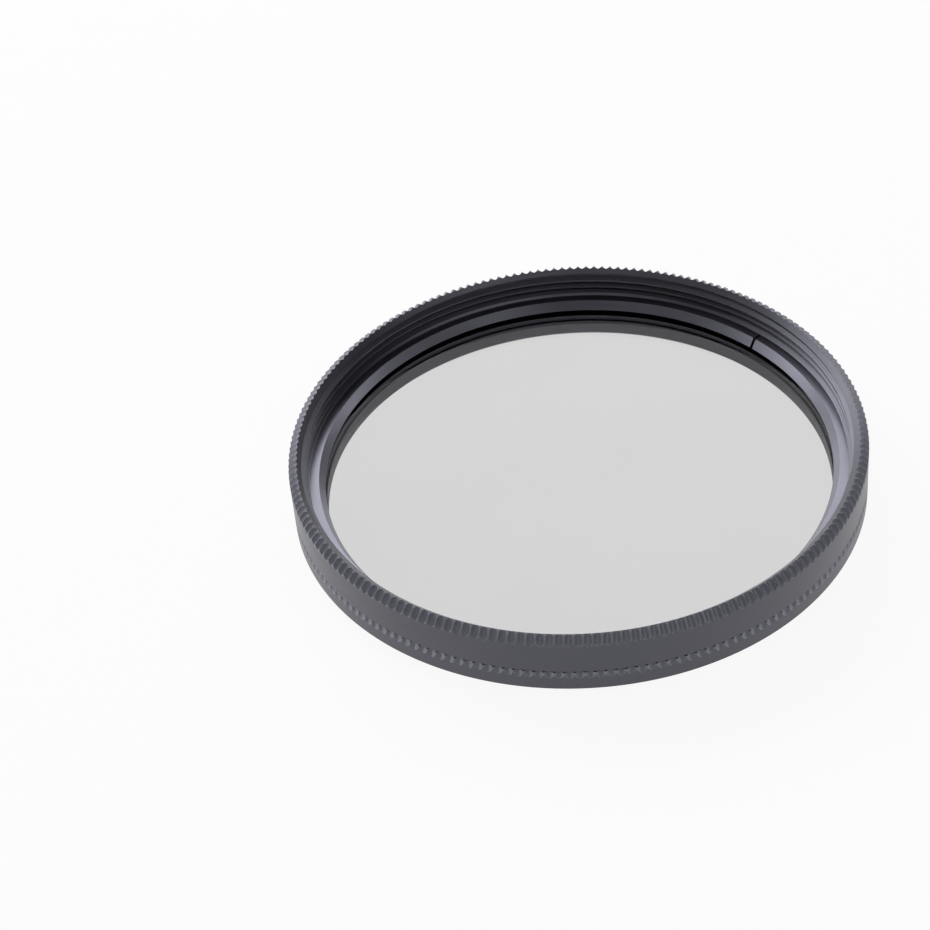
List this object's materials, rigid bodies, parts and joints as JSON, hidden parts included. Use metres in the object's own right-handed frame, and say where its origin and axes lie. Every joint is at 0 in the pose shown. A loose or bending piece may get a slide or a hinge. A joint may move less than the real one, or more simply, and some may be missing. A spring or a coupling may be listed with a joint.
{
  "type": "screw-in lens filter",
  "caption": "Round rotating lens filter: a knurled front ring with its grey glass turns in a rear ring that screws on to a lens.",
  "frame": {"origin": "on the optical axis, at the end of the rear thread collar that the filter rests on", "axes": "+Z along the optical axis towards the scene; +X and +Y lie in the plane of the rings"},
  "size_m": [0.0544, 0.0544, 0.0075],
  "materials": {
    "ring_black": "black anodised, satin",
    "grey_glass": "polished neutral grey",
    "retainer_black": "black anodised, semi-gloss",
    "spring_steel": "bright drawn wire"
  },
  "bodies": {
    "mount": {"rear_ring": "ring_black", "snap_ring": "spring_steel"},
    "rotator": {"front_ring": "ring_black", "filter_glass": "grey_glass", "retaining_ring": "retainer_black"}
  },
  "joints": [
    {"name": "filter_turn", "type": "hinge", "parent": "mount", "child": "rotator", "pos_m": [0, 0, 0.003], "axis": [0, 0, 1], "continuous": true}
  ]
}
